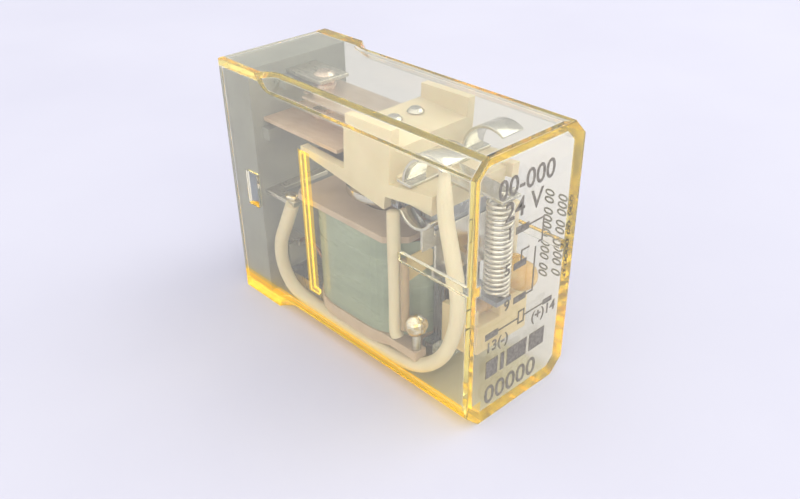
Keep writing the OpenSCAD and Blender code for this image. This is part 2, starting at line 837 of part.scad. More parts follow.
// Curled strips that rise from the tail plate on either side
module curled_ears() {
    color("whitesmoke") from_mouth() opened() for (y = [-ear_y, ear_y])
        translate([ear_x, y + ear_w / 2, platform_z + tail_t]) rotate([90, 0, 0])
            difference() {
                cylinder(r = ear_r, h = ear_w);
                translate([0, 0, -1]) cylinder(r = ear_r - ear_t, h = 2 * ear_w);
                translate([-2 * ear_r, -3 * ear_r, -1]) cube([4 * ear_r, 3 * ear_r, 2 * ear_w]);
                rotate([0, 0, ear_open]) translate([0, -3 * ear_r, -1])
                    cube([3 * ear_r, 6 * ear_r, 2 * ear_w]);
            }
}

module leaf_root() {
    color("burlywood") from_mouth() difference() {
        block([leaf_x[1] + leaf_slit, leaf_root_x], [-leaf_w / 2, leaf_w / 2], [leaf_z, leaf_z + leaf_t]);
        rivet_holes();
    }
}

module leaf_rivets() {
    color("silver") from_mouth() for (y = [-rivet_y, rivet_y]) translate([rivet_x, y, 0]) {
        translate([0, 0, rivet_z]) cylinder(r = rivet_r, h = rivet_head_z - rivet_z);
        translate([0, 0, rivet_head_z - eps])
            cylinder(r1 = rivet_head_r, r2 = rivet_head_r * tail_share, h = rivet_head_h);
    }
}

module contact_leaf() {
    color("burlywood") from_mouth() difference() {
        union() {
            block([leaf_x[0] + leaf_nose_l, leaf_x[1]], [-leaf_w / 2, leaf_w / 2],
                  [leaf_z, leaf_z + leaf_t]);
            block([leaf_x[0], leaf_x[0] + leaf_nose_l + eps],
                  [-leaf_w / 2 + leaf_nose_cut, leaf_w / 2 - leaf_nose_cut],
                  [leaf_z, leaf_z + leaf_t]);
        }
        translate([contact_x, 0, 0]) cylinder(r = contact_r * shank_share, h = 40);
    }
}

module moving_contact() {
    color("silver") from_mouth() translate([contact_x, 0, leaf_z]) {
        cylinder(r = contact_r * shank_share, h = leaf_t);
        translate([0, 0, leaf_t - eps]) contact_head(head_h + eps);
        translate([0, 0, eps]) mirror([0, 0, 1]) contact_head(head_h + eps);
    }
}

housing();
base();
blade_nc();
blade_no();
blade_com();
blade_coil_near();
blade_coil_far();
nc_contact();
no_contact();
yoke();
core();
bobbin();
winding();
coil_tape();
coil_leads();
hinge_clip();
return_spring();
pigtail_sleeve();
pigtail_solder();
lead_sleeve_cream();
lead_sleeve_brown();
lead_sleeve_white();
lead_flag();
coil_posts();
post_solder();
lamp_holder();
lamp_lens();
lamp_leads();
lamp_resistor();
label_print();
armature();
armature_card();
tail_plate();
curled_ears();
leaf_root();
leaf_rivets();
pigtail_end();
contact_leaf();
moving_contact();
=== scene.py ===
"""Looks of a slim plug-in relay in a clear snap-on case.

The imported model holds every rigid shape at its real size. This script dresses those shapes and
puts finer meshes in place of the sleeves, wires, springs and solder beads. Lengths are in metres,
and the class fields that end in _mm are in millimetres, measured from the mouth of the case.
"""

import logging
import math
from collections.abc import Callable, Sequence
from dataclasses import dataclass
from enum import Enum

import bmesh
import bpy
from mathutils import Matrix, Vector, noise


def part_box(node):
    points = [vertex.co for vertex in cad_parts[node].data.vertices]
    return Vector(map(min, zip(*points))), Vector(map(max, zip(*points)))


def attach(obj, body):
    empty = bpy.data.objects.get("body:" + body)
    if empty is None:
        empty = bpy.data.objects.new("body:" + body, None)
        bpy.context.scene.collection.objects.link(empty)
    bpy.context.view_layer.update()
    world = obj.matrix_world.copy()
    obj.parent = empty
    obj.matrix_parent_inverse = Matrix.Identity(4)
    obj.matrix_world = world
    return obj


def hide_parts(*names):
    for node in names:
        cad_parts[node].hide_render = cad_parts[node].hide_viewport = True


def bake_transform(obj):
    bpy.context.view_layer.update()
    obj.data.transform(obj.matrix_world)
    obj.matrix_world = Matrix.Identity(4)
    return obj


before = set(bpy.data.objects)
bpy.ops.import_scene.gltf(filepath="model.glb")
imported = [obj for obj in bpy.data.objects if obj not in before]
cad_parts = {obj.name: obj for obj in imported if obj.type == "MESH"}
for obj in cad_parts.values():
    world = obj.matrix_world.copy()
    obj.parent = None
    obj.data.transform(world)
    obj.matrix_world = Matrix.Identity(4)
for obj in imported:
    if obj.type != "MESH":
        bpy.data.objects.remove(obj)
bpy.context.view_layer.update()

MM = 0.001
ROUTE_UV = "route"
Point = tuple[float, float, float]
log = logging.getLogger("relay")


class Body(Enum):
    """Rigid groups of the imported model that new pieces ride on."""

    CASE = "case"
    ARMATURE = "armature"


class Axis(Enum):
    """Direction that a rolled, drawn or brushed surface runs in."""

    X = 0
    Y = 1
    Z = 2


# ---------------------------------------------------------------- node helpers


def linear(code: str, alpha: float = 1.0) -> tuple[float, float, float, float]:
    """Turns an sRGB hex colour into linear values.

    Args:
        code: Colour as six hex digits, with or without a leading hash.
        alpha: Opacity of the result.

    Returns:
        Linear red, green, blue and alpha.
    """
    digits = code.lstrip("#")
    parts = [int(digits[i : i + 2], 16) / 255 for i in (0, 2, 4)]
    red, green, blue = (c / 12.92 if c <= 0.04045 else ((c + 0.055) / 1.055) ** 2.4 for c in parts)
    return (red, green, blue, alpha)


def add_node(
    tree: bpy.types.NodeTree, kind: str, links: dict | None = None, **settings: object
) -> bpy.types.Node:
    """Adds a node, sets its properties and fills its inputs.

    Args:
        tree: Node tree that gets the node.
        kind: Blender's identifier for the node.
        links: Inputs by name or index, each a socket to link or a value to set.
        **settings: Properties of the node itself.

    Returns:
        The new node.
    """
    node = tree.nodes.new(kind)
    for key, value in settings.items():
        setattr(node, key, value)
    for key, value in (links or {}).items():
        if isinstance(value, bpy.types.NodeSocket):
            tree.links.new(value, node.inputs[key])
        else:
            node.inputs[key].default_value = value
    return node


def pattern_scale(size_mm: float) -> float:
    """Scale of a texture whose features should be about size_mm across."""
    return 1 / (size_mm * MM)


# ---------------------------------------------------------------- finishes


@dataclass(frozen=True)
class Finish:
    """A surface finish that becomes one shared material.

    Attributes:
        name: Name of the material.
        slot: Material slot of the record that it stands for.
    """

    name: str
    slot: str

    def material(self) -> bpy.types.Material:
        """Builds the material, or returns the one already built.

        Returns:
            The material of this finish.
        """
        known = bpy.data.materials.get(self.name)
        if known is not None:
            return known
        made = bpy.data.materials.new(self.name)
        made.use_nodes = True
        made.node_tree.nodes.clear()
        self.build(made.node_tree)
        return made

    def build(self, tree: bpy.types.NodeTree) -> None:
        """Fills the node tree; each kind of finish has its own."""
        raise NotImplementedError

    def dress(self, piece: bpy.types.Object) -> None:
        """Puts the material on every slot of a piece."""
        made = self.material()
        if not piece.data.materials:
            piece.data.materials.append(made)
        for index in range(len(piece.data.materials)):
            piece.data.materials[index] = made


def object_coordinates(tree: bpy.types.NodeTree) -> bpy.types.NodeSocket:
    """Coordinates in metres that stay with the piece."""
    return add_node(tree, "ShaderNodeTexCoord").outputs["Object"]


def grain(
    tree: bpy.types.NodeTree,
    size_mm: float,
    detail: float = 4.0,
    stretch: Point = (1.0, 1.0, 1.0),
) -> bpy.types.NodeSocket:
    """Noise of a real size, drawn out along an axis where stretch is under one.

    Args:
        tree: Node tree to add to.
        size_mm: Width of one feature, in millimetres.
        detail: Number of finer octaves.
        stretch: Factor on the coordinates along each axis.

    Returns:
        The noise value, around one half.
    """
    mapped = add_node(
        tree, "ShaderNodeMapping", {"Vector": object_coordinates(tree), "Scale": stretch}
    )
    made = add_node(
        tree,
        "ShaderNodeTexNoise",
        {"Vector": mapped.outputs[0], "Scale": pattern_scale(size_mm), "Detail": detail},
    )
    return made.outputs["Fac"]


def spread(
    tree: bpy.types.NodeTree, value: bpy.types.NodeSocket, low: float, high: float
) -> bpy.types.NodeSocket:
    """Stretches the middle of a noise value to the range from low to high."""
    made = add_node(
        tree,
        "ShaderNodeMapRange",
        {"Value": value, "From Min": 0.3, "From Max": 0.7, "To Min": low, "To Max": high},
    )
    return made.outputs["Result"]


def two_tone(
    tree: bpy.types.NodeTree, value: bpy.types.NodeSocket, first: str, second: str
) -> bpy.types.NodeSocket:
    """Colour that goes from one hex colour to another as value goes from 0.3 to 0.7."""
    ramp = add_node(tree, "ShaderNodeValToRGB", {"Fac": value})
    low, high = ramp.color_ramp.elements
    low.position, low.color = 0.3, linear(first)
    high.position, high.color = 0.7, linear(second)
    return ramp.outputs["Color"]


def relief(
    tree: bpy.types.NodeTree, height: bpy.types.NodeSocket, depth_mm: float, strength: float = 1.0
) -> bpy.types.NodeSocket:
    """Surface normal for a height pattern of a real depth."""
    made = add_node(
        tree,
        "ShaderNodeBump",
        {"Height": height, "Distance": depth_mm * MM, "Strength": strength},
    )
    return made.outputs["Normal"]


def finish_output(tree: bpy.types.NodeTree, surface: bpy.types.NodeSocket) -> bpy.types.Node:
    """Adds the output node and links the surface to it."""
    return add_node(tree, "ShaderNodeOutputMaterial", {"Surface": surface})


@dataclass(frozen=True)
class ClearPolycarbonate(Finish):
    """Injection-moulded clear polycarbonate with a faint yellow cast.

    A wall seen face on looks nearly colourless. Light that has run along the inside of a wall to
    an edge has crossed centimetres of resin, so the edges glow gold. The guide and the sill of the
    near wall also get a gold tint and a weak glow, which stand for light piped to them.
    """

    tint: str = "FFF100"
    density_per_m: float = 92.0
    ior: float = 1.585
    roughness: float = 0.02
    flow_mm: float = 6.0
    clearness: float = 0.975
    piped_tint: str = "FFD23C"
    guide_mm: tuple[Point, Point] = ((11.9, -6.2, 4.8), (13.7, -5.6, 21.2))
    sill_mm: tuple[Point, Point] = ((-0.3, -7.2, -0.2), (35.2, -4.8, 2.3))
    guide_glow: float = 0.36
    sill_glow: float = 0.2
    lamp_tint: str = "FAF7E6"

    def inside(
        self, tree: bpy.types.NodeTree, corners_mm: tuple[Point, Point], level: float
    ) -> bpy.types.NodeSocket:
        """Level inside a box of the case, and zero outside it.

        Args:
            tree: Node tree to add to.
            corners_mm: Two opposite corners, from the case mouth.
            level: Value inside the box.

        Returns:
            The value, as a socket.
        """
        parts = add_node(tree, "ShaderNodeSeparateXYZ", {"Vector": object_coordinates(tree)})
        value: float | bpy.types.NodeSocket = level
        for name, start, end in zip("XYZ", *from_mouth(corners_mm)):
            within = add_node(
                tree,
                "ShaderNodeMath",
                {0: parts.outputs[name], 1: (start + end) / 2, 2: (end - start) / 2},
                operation="COMPARE",
            )
            value = add_node(
                tree, "ShaderNodeMath", {0: value, 1: within.outputs[0]}, operation="MULTIPLY"
            ).outputs[0]
        return value

    def build(self, tree: bpy.types.NodeTree) -> None:
        """Glass-like shader, plain absorption, and a lamp ray that passes with a little tint."""
        flow = grain(tree, self.flow_mm, 2.0)
        guide = self.inside(tree, self.guide_mm, self.guide_glow)
        sill = self.inside(tree, self.sill_mm, self.sill_glow)
        glow = add_node(tree, "ShaderNodeMath", {0: guide, 1: sill}, operation="ADD").outputs[0]
        share = add_node(tree, "ShaderNodeMath", {0: glow, 1: 0.0}, operation="GREATER_THAN")
        tone = add_node(
            tree,
            "ShaderNodeMix",
            {0: share.outputs[0], 6: linear("FFFFFF"), 7: linear(self.piped_tint)},
            data_type="RGBA",
        )
        resin = add_node(
            tree,
            "ShaderNodeBsdfPrincipled",
            {
                "Base Color": tone.outputs[2],
                "Transmission Weight": self.clearness,
                "Emission Color": linear(self.piped_tint),
                "Emission Strength": glow,
                "IOR": self.ior,
                "Roughness": self.roughness,
                "Normal": relief(tree, flow, 0.01, 0.08),
            },
        )
        lamp = add_node(tree, "ShaderNodeBsdfTransparent", {"Color": linear(self.lamp_tint)})
        path = add_node(tree, "ShaderNodeLightPath")
        mixed = add_node(
            tree,
            "ShaderNodeMixShader",
            {0: path.outputs["Is Shadow Ray"], 1: resin.outputs[0], 2: lamp.outputs[0]},
        )
        absorbed = add_node(
            tree,
            "ShaderNodeVolumeAbsorption",
            {"Color": linear(self.tint), "Density": self.density_per_m},
        )
        out = finish_output(tree, mixed.outputs[0])
        tree.links.new(absorbed.outputs[0], out.inputs["Volume"])


@dataclass(frozen=True)
class MouldedPlastic(Finish):
    """Filled thermoplastic or thermoset from a mould, with fine fillers and a satin skin."""

    light: str = "F0E6D2"
    shade: str = "E2D4BA"
    cloud_mm: float = 3.0
    speck_mm: float = 0.12
    speck_depth_mm: float = 0.01
    roughness: float = 0.42
    coat: float = 0.15
    ior: float = 1.5
    scatter: float = 0.0

    def build(self, tree: bpy.types.NodeTree) -> None:
        """Cloudy colour, a grain of fillers and a satin gloss that changes with the grain."""
        cloud = grain(tree, self.cloud_mm, 3.0)
        speck = grain(tree, self.speck_mm, 2.0)
        skin = add_node(
            tree,
            "ShaderNodeBsdfPrincipled",
            {
                "Base Color": two_tone(tree, cloud, self.light, self.shade),
                "Roughness": spread(tree, speck, self.roughness - 0.08, self.roughness + 0.1),
                "IOR": self.ior,
                "Coat Weight": self.coat,
                "Coat Roughness": 0.25,
                "Subsurface Weight": self.scatter,
                "Subsurface Scale": 0.6 * MM,
                "Normal": relief(tree, speck, self.speck_depth_mm, 0.5),
            },
        )
        finish_output(tree, skin.outputs[0])


@dataclass(frozen=True)
class RolledMetal(Finish):
    """Sheet or turned metal, plated or bare, with the fine streaks of rolling along one axis."""

    light: str = "C8C6C0"
    shade: str = "A8A6A0"
    along: Axis = Axis.X
    streak_mm: float = 0.12
    streak_depth_mm: float = 0.003
    roughness: float = 0.28
    metallic: float = 1.0
    blotch_mm: float = 1.8

    def build(self, tree: bpy.types.NodeTree) -> None:
        """Metal whose streaks run along its axis, over larger handling marks."""
        stretch = [1.0, 1.0, 1.0]
        stretch[self.along.value] = 0.06
        streak = grain(tree, self.streak_mm, 3.0, tuple(stretch))
        blotch = grain(tree, self.blotch_mm, 4.0)
        mixed = add_node(tree, "ShaderNodeMath", {0: streak, 1: blotch}, operation="ADD")
        both = add_node(
            tree, "ShaderNodeMath", {0: mixed.outputs[0], 1: 0.5}, operation="MULTIPLY"
        ).outputs[0]
        metal = add_node(
            tree,
            "ShaderNodeBsdfPrincipled",
            {
                "Base Color": two_tone(tree, both, self.light, self.shade),
                "Metallic": self.metallic,
                "Roughness": spread(tree, both, self.roughness - 0.08, self.roughness + 0.12),
                "Normal": relief(tree, streak, self.streak_depth_mm, 0.6),
            },
        )
        finish_output(tree, metal.outputs[0])


@dataclass(frozen=True)
class PolyesterTape(Finish):
    """Glossy polyester tape pulled tight round the winding, with soft creases and lap edges."""

    light: str = "9AA99C"
    shade: str = "7F9086"
    crease_mm: float = 1.4
    lap_mm: float = 3.2
    roughness: float = 0.3

    def build(self, tree: bpy.types.NodeTree) -> None:
        """Green film with ripples that run round the coil and faint edges of the layers."""
        ripple = grain(tree, self.crease_mm, 3.0, (0.25, 0.25, 1.0))
        height = add_node(
            tree, "ShaderNodeSeparateXYZ", {"Vector": object_coordinates(tree)}
        ).outputs["Z"]
        laps = add_node(
            tree, "ShaderNodeMath", {0: height, 1: self.lap_mm * MM}, operation="PINGPONG"
        )
        edge = add_node(
            tree,
            "ShaderNodeMapRange",
            {
                "Value": laps.outputs[0],
                "From Min": 0.0,
                "From Max": 0.12 * MM,
                "To Min": 0.0,
                "To Max": 1.0,
            },
        )
        raised = add_node(
            tree, "ShaderNodeMath", {0: ripple, 1: edge.outputs["Result"]}, operation="ADD"
        )
        film = add_node(
            tree,
            "ShaderNodeBsdfPrincipled",
            {
                "Base Color": two_tone(tree, ripple, self.light, self.shade),
                "Roughness": spread(tree, ripple, self.roughness - 0.08, self.roughness + 0.1),
                "IOR": 1.64,
                "Coat Weight": 0.4,
                "Coat Roughness": 0.12,
                "Normal": relief(tree, raised.outputs[0], 0.03, 0.5),
            },
        )
        finish_output(tree, film.outputs[0])


@dataclass(frozen=True)
class BraidedSleeve(Finish):
    """Varnished glass-fibre sleeving, with a soft shine on the crests of the plait and painted shade
    in its hollows.

    The threads are drawn coarser than real ones, so that the plait shows.
    """

    light: str = "E9E0CF"
    shade: str = "DFD4C2"
    threads: int = 18
    pitch_mm: float = 0.42
    depth_mm: float = 0.02
    roughness: float = 0.5

    def build(self, tree: bpy.types.NodeTree) -> None:
        """Two crossing sets of helical threads, rougher in the hollows, which are also darkened by
        painted shade.
        """
        route = add_node(tree, "ShaderNodeUVMap", uv_map=ROUTE_UV)
        parts = add_node(tree, "ShaderNodeSeparateXYZ", {"Vector": route.outputs[0]})
        around = add_node(
            tree,
            "ShaderNodeMath",
            {0: parts.outputs["X"], 1: 2 * math.pi * self.threads},
            operation="MULTIPLY",
        )
        along = add_node(
            tree,
            "ShaderNodeMath",
            {0: parts.outputs["Y"], 1: 2 * math.pi / (self.pitch_mm * MM)},
            operation="MULTIPLY",
        )
        waves = []
        for turn in ("ADD", "SUBTRACT"):
            phase = add_node(
                tree, "ShaderNodeMath", {0: around.outputs[0], 1: along.outputs[0]}, operation=turn
            )
            waves.append(add_node(tree, "ShaderNodeMath", {0: phase.outputs[0]}, operation="SINE"))
        crest = add_node(
            tree,
            "ShaderNodeMath",
            {0: waves[0].outputs[0], 1: waves[1].outputs[0]},
            operation="MAXIMUM",
        )
        # Painted shade: the colour is darker in the hollows between the threads and lighter on their
        # crests
        level = add_node(
            tree,
            "ShaderNodeMapRange",
            {
                "Value": crest.outputs[0],
                "From Min": -0.6,
                "From Max": 1.0,
                "To Min": 0.2,
                "To Max": 0.75,
            },
        )
        soil = grain(tree, 1.5, 3.0)
        tone = add_node(
            tree, "ShaderNodeMath", {0: level.outputs["Result"], 1: soil}, operation="ADD"
        )
        half = add_node(tree, "ShaderNodeMath", {0: tone.outputs[0], 1: 0.5}, operation="MULTIPLY")
        cloth = add_node(
            tree,
            "ShaderNodeBsdfPrincipled",
            {
                "Base Color": two_tone(tree, half.outputs[0], self.shade, self.light),
                "Roughness": spread(tree, half.outputs[0], self.roughness + 0.1, self.roughness),
                "Coat Weight": 0.12,
                "Coat Roughness": 0.3,
                "Subsurface Weight": 0.1,
                "Subsurface Scale": 0.4 * MM,
                "Normal": relief(tree, crest.outputs[0], self.depth_mm, 0.6),
            },
        )
        finish_output(tree, cloth.outputs[0])


@dataclass(frozen=True)
class DrawnWire(Finish):
    """Hard-drawn or enamelled wire: bright, with fine draw marks along its route."""

    light: str = "EFEDE8"
    shade: str = "D2CEC8"
    roughness: float = 0.3
    mark_mm: float = 0.08

    def build(self, tree: bpy.types.NodeTree) -> None:
        """Metal with slow changes of tone along the wire and fine pits."""
        mark = grain(tree, self.mark_mm, 3.0)
        tone = grain(tree, 1.1, 3.0)
        metal = add_node(
            tree,
            "ShaderNodeBsdfPrincipled",
            {
                "Base Color": two_tone(tree, tone, self.light, self.shade),
                "Metallic": 1.0,
                "Roughness": spread(tree, mark, self.roughness - 0.06, self.roughness + 0.12),
                "Normal": relief(tree, mark, 0.004, 0.5),
            },
        )
        finish_output(tree, metal.outputs[0])


@dataclass(frozen=True)
class SolderBead(Finish):
    """Soft solder that froze with a bright wavy skin and a trace of amber flux."""

    light: str = "E6DFCE"
    flux: str = "D8C08A"
    flux_share: float = 0.48
    roughness: float = 0.18

    def build(self, tree: bpy.types.NodeTree) -> None:
        """Bright metal with flux in the hollows and a slightly frosted crown."""
        swirl = grain(tree, 0.5, 4.0)
        frost = grain(tree, 0.06, 2.0)
        stained = add_node(
            tree,
            "ShaderNodeMapRange",
            {
                "Value": swirl,
                "From Min": self.flux_share,
                "From Max": self.flux_share + 0.12,
                "To Min": 0.3,
                "To Max": 0.7,
            },
        )
        metal = add_node(
            tree,
            "ShaderNodeBsdfPrincipled",
            {
                "Base Color": two_tone(tree, stained.outputs["Result"], self.light, self.flux),
                "Metallic": 1.0,
                "Roughness": spread(tree, frost, self.roughness - 0.06, self.roughness + 0.14),
                "Coat Weight": 0.3,
                "Coat Roughness": 0.08,
                "Normal": relief(tree, swirl, 0.05, 0.6),
            },
        )
        finish_output(tree, metal.outputs[0])


@dataclass(frozen=True)
class TintedEpoxy(Finish):
    """Cast epoxy of an indicator lamp, coloured and filled so that it glows when light enters."""

    light: str = "F6DC94"
    shade: str = "F0C46C"
    clear: float = 0.55
    ior: float = 1.54

    def build(self, tree: bpy.types.NodeTree) -> None:
        """Half-clear amber resin, deeper where the fill is thick."""
        fill = grain(tree, 0.9, 2.0)
        resin = add_node(
            tree,
            "ShaderNodeBsdfPrincipled",
            {
                "Base Color": two_tone(tree, fill, self.light, self.shade),
                "Transmission Weight": self.clear,
                "IOR": self.ior,
                "Roughness": spread(tree, grain(tree, 0.2, 2.0), 0.12, 0.22),
                "Normal": relief(tree, fill, 0.01, 0.3),
            },
        )
        finish_output(tree, resin.outputs[0])


@dataclass(frozen=True)
class PadPrint(Finish):
    """Pad-printed ink: matt, a little thin in places, with a broken skin."""

    ink: str = "625D54"
    thin: str = "8C877E"
    cover_mm: float = 0.22

    def build(self, tree: bpy.types.NodeTree) -> None:
        """Dark ink that turns lighter where the pad left less of it."""
        cover = grain(tree, self.cover_mm, 4.0)
        film = add_node(
            tree,
            "ShaderNodeBsdfPrincipled",
            {
                "Base Color": two_tone(tree, cover, self.ink, self.thin),
                "Roughness": spread(tree, cover, 0.5, 0.7),
                "Normal": relief(tree, cover, 0.004, 0.4),
            },
        )
        finish_output(tree, film.outputs[0])


@dataclass(frozen=True)
class SeamlessPaper(Finish):
    """Background paper: matt, pale, with a barely visible tooth."""

    light: str = "C6C5CE"
    shade: str = "C2C1CB"

    def build(self, tree: bpy.types.NodeTree) -> None:
        """Pale matt sheet with a fine tooth."""
        tooth = grain(tree, 0.5, 3.0)
        sheet = add_node(
            tree,
            "ShaderNodeBsdfPrincipled",
            {
                "Base Color": two_tone(tree, grain(tree, 40.0, 3.0), self.light, self.shade),
                "Roughness": 0.85,
                "Specular IOR Level": 0.2,
                "Normal": relief(tree, tooth, 0.02, 0.15),
            },
        )
        finish_output(tree, sheet.outputs[0])


# Clear moulded resin: pale faces and gold edges
CASE_RESIN = ClearPolycarbonate("clear_polycarbonate_moulded", "clear_polycarbonate")
# Grey filled thermoplastic: flat, satin, slightly green under the yellow case
BASE_PLASTIC = MouldedPlastic(
    "grey_pbt_moulded", "grey_moulding", light="939698", shade="848789", roughness=0.5, coat=0.05
)
# Warm cream thermoset: soft glow at its edges
CARD_PLASTIC = MouldedPlastic(
    "cream_thermoset_moulded", "cream_moulding", light="E4D9C5", shade="DACDB6", scatter=0.15
)
HOLDER_PLASTIC = MouldedPlastic(
    "tan_thermoset_moulded", "cream_moulding", light="EAD9B4", shade="D8C49A", scatter=0.1
)
# Natural nylon with glass fibre: brownish pink, rougher than the card
BOBBIN_PLASTIC = MouldedPlastic(
    "nylon_glass_filled_moulded", "bobbin_nylon", light="D0BDB2", shade="BDA99E", speck_mm=0.2
)
RESISTOR_LACQUER = MouldedPlastic(
    "resistor_lacquer_dipped", "resistor_coat", light="CFAE7E", shade="B8955F", coat=0.8
)
PAPER_TAPE = MouldedPlastic(
    "crepe_paper_tape", "cream_tape", light="F0DDB0", shade="DDC48C", speck_mm=0.3, roughness=0.6
)
COIL_TAPE = PolyesterTape("green_polyester_tape_wound", "green_tape")
# Tin over brass: pale, a little dull, with rolling marks along the blade
BLADE_TIN = RolledMetal("tinned_brass_stamped", "tinned_brass", light="D9D6CC", shade="BEBAAE")
# Silver alloy contacts: bright and softly worn
CONTACT_SILVER = RolledMetal(
    "silver_alloy_coined", "silver_contact", light="F0E0D4", shade="DCC8BA", roughness=0.24
)
# Soft iron under zinc: cool grey with blotches from the plating bath
YOKE_ZINC = RolledMetal(
    "soft_iron_zinc_plated", "zinc_plated_iron", light="B4B8C2", shade="8E929C", along=Axis.Z
)
CLIP_NICKEL = RolledMetal(
    "nickel_silver_bent", "nickel_silver", light="E6E4DC", shade="C6C4BC", roughness=0.16
)
LEAF_BRONZE = RolledMetal(
    "phosphor_bronze_rolled",
    "phosphor_bronze",
    light="D2C4BC",
    shade="B8A8A0",
    roughness=0.36,
    metallic=0.7,
)
# The long work arm is left bare of tin: warm rolled brass with a pink cast
ARM_BRASS = RolledMetal(
    "brass_bare_rolled",
    "tinned_brass",
    light="DCC6B6",
    shade="C8AE9C",
    roughness=0.42,
    metallic=0.5,
)
SPRING_WIRE = DrawnWire("spring_steel_drawn", "spring_steel")
COPPER_WIRE = DrawnWire(
    "copper_wire_enamelled", "copper_wire", light="A87A60", shade="7E5844", roughness=0.3
)
LEAD_TIN = DrawnWire("copper_lead_tinned", "solder", light="DAD9D4", shade="B9B8B2")
SOLDER = SolderBead("soft_solder_reflowed", "solder")
CREAM_SLEEVE = BraidedSleeve("glass_fibre_sleeve_cream", "cream_sleeve")
BROWN_SLEEVE = BraidedSleeve(
    "glass_fibre_sleeve_brown", "brown_sleeve", light="C0AA90", shade="A48C72", threads=12
)
LAMP_EPOXY = TintedEpoxy("amber_epoxy_cast", "amber_epoxy")
PRINT_INK = PadPrint("pad_print_ink", "grey_ink")
# The rows on the side wall took much less ink
FAINT_INK = PadPrint("pad_print_ink_faint", "grey_ink", ink="B9B6B0", thin="D0CDC8")
STUDIO_PAPER = SeamlessPaper("seamless_paper", "")


# ---------------------------------------------------------------- mesh helpers


def from_mouth(points: Sequence[Point]) -> list[Vector]:
    """Turns millimetres from the case mouth into metres in the frame."""
    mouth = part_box("housing")[0].x
    return [Vector((mouth + x * MM, y * MM, z * MM)) for x, y, z in points]


def smooth_route(points: Sequence[Vector], steps: int) -> list[Vector]:
    """Curve through all the points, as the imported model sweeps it.

    Args:
        points: Points that the route passes through.
        steps: Number of steps from each point to the next.

    Returns:
        Points along the curve.
    """
    last = len(points) - 1
    curve = []
    for i in range(last):
        a, b = points[max(0, i - 1)], points[i]
        c, d = points[i + 1], points[min(last, i + 2)]
        for s in range(steps):
            t = s / steps
            curve.append(
                0.5
                * (
                    2 * b
                    + (c - a) * t
                    + (2 * a - 5 * b + 4 * c - d) * t**2
                    + (3 * b - a - 3 * c + d) * t**3
                )
            )
    curve.append(points[last].copy())
    return curve


def new_piece(name: str, mesh: bmesh.types.BMesh, smooth: bool = True) -> bpy.types.Object:
    """Turns a bmesh into an object of the scene.

    Args:
        name: Name of the piece.
        mesh: Geometry, which is freed.
        smooth: Whether faces are shaded smooth.

    Returns:
        The new object.
    """
    data = bpy.data.meshes.new(name)
    for face in mesh.faces:
        face.smooth = smooth
    mesh.to_mesh(data)
    mesh.free()
    piece = bpy.data.objects.new(name, data)
    bpy.context.scene.collection.objects.link(piece)
    return piece


def swept_tube(
    name: str,
    path: Sequence[Vector],
    radius: float | Callable[[float], float],
    sides: int = 20,
) -> bpy.types.Object:
    """Round tube along a path, with coordinates that run round and along it.

    Args:
        name: Name of the piece.
        path: Centre line, in metres.
        radius: Radius in metres, or a function of the distance along the path.
        sides: Number of sides.

    Returns:
        The tube as a closed mesh.
    """
    width = radius if callable(radius) else lambda _distance: radius
    tube = bmesh.new()
    uv = tube.loops.layers.uv.new(ROUTE_UV)
    rings, distances = [], []
    travelled = 0.0
    tangent = (path[1] - path[0]).normalized()
    side = tangent.orthogonal().normalized()
    for i, centre in enumerate(path):
        ahead = path[min(i + 1, len(path) - 1)] - path[max(i - 1, 0)]
        turned = ahead.normalized()
        side = tangent.rotation_difference(turned) @ side
        side = (side - turned * side.dot(turned)).normalized()
        tangent = turned
        up = tangent.cross(side)
        if i:
            travelled += (centre - path[i - 1]).length
        r = width(travelled)
        ring = []
        for k in range(sides):
            angle = 2 * math.pi * k / sides
            ring.append(
                tube.verts.new(centre + r * (math.cos(angle) * side + math.sin(angle) * up))
            )
        rings.append(ring)
        distances.append(travelled)
    for i in range(len(rings) - 1):
        for k in range(sides):
            n = (k + 1) % sides
            face = tube.faces.new((rings[i][k], rings[i][n], rings[i + 1][n], rings[i + 1][k]))
            corners = ((k, i), (k + 1, i), (k + 1, i + 1), (k, i + 1))
            for loop, (round_step, step) in zip(face.loops, corners):
                loop[uv].uv = (round_step / sides, distances[step])
    tube.faces.new(list(reversed(rings[0])))
    tube.faces.new(rings[-1])
    bmesh.ops.recalc_face_normals(tube, faces=tube.faces[:])
    return new_piece(name, tube)


def bead(name: str, centre: Vector, radii: Vector, roughness: float = 0.12) -> bpy.types.Object:
    """Frozen drop with an uneven skin.

    Args:
        name: Name of the piece.
        centre: Middle of the drop.
        radii: Half sizes along each axis.
        roughness: Share of the radius by which the skin wanders.

    Returns:
        The drop as a closed mesh.
    """
    drop = bmesh.new()
    bmesh.ops.create_icosphere(drop, subdivisions=4, radius=1.0)
    for vert in drop.verts:
        wander = 1 + roughness * noise.noise(vert.co * 1.7 + centre * pattern_scale(1.0))
        vert.co = centre + Vector([c * r * wander for c, r in zip(vert.co, radii)])
    return new_piece(name, drop)


def soften(node: str, width_mm: float, segments: int = 2) -> None:
    """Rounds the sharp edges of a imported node, as tooling and tumbling leave them.

    Args:
        node: Name of the node.
        width_mm: Width of the rounding.
        segments: Steps across the rounding.
    """
    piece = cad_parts[node]
    weld = piece.modifiers.new("weld", "WELD")
    weld.merge_threshold = 0.001 * MM
    flat = piece.modifiers.new("flat", "DECIMATE")
    flat.decimate_type = "DISSOLVE"
    flat.angle_limit = math.radians(0.4)
    edge = piece.modifiers.new("edge", "BEVEL")
    edge.width = width_mm * MM
    edge.segments = segments
    edge.limit_method = "ANGLE"
    edge.angle_limit = math.radians(28)
    edge.harden_normals = True


def dress_node(node: str, finish: Finish, width_mm: float = 0.0) -> None:
    """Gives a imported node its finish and, where width_mm is set, rounded edges."""
    finish.dress(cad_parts[node])
    if width_mm:
        soften(node, width_mm)
    log.info("dressed %s in %s", node, finish.name)


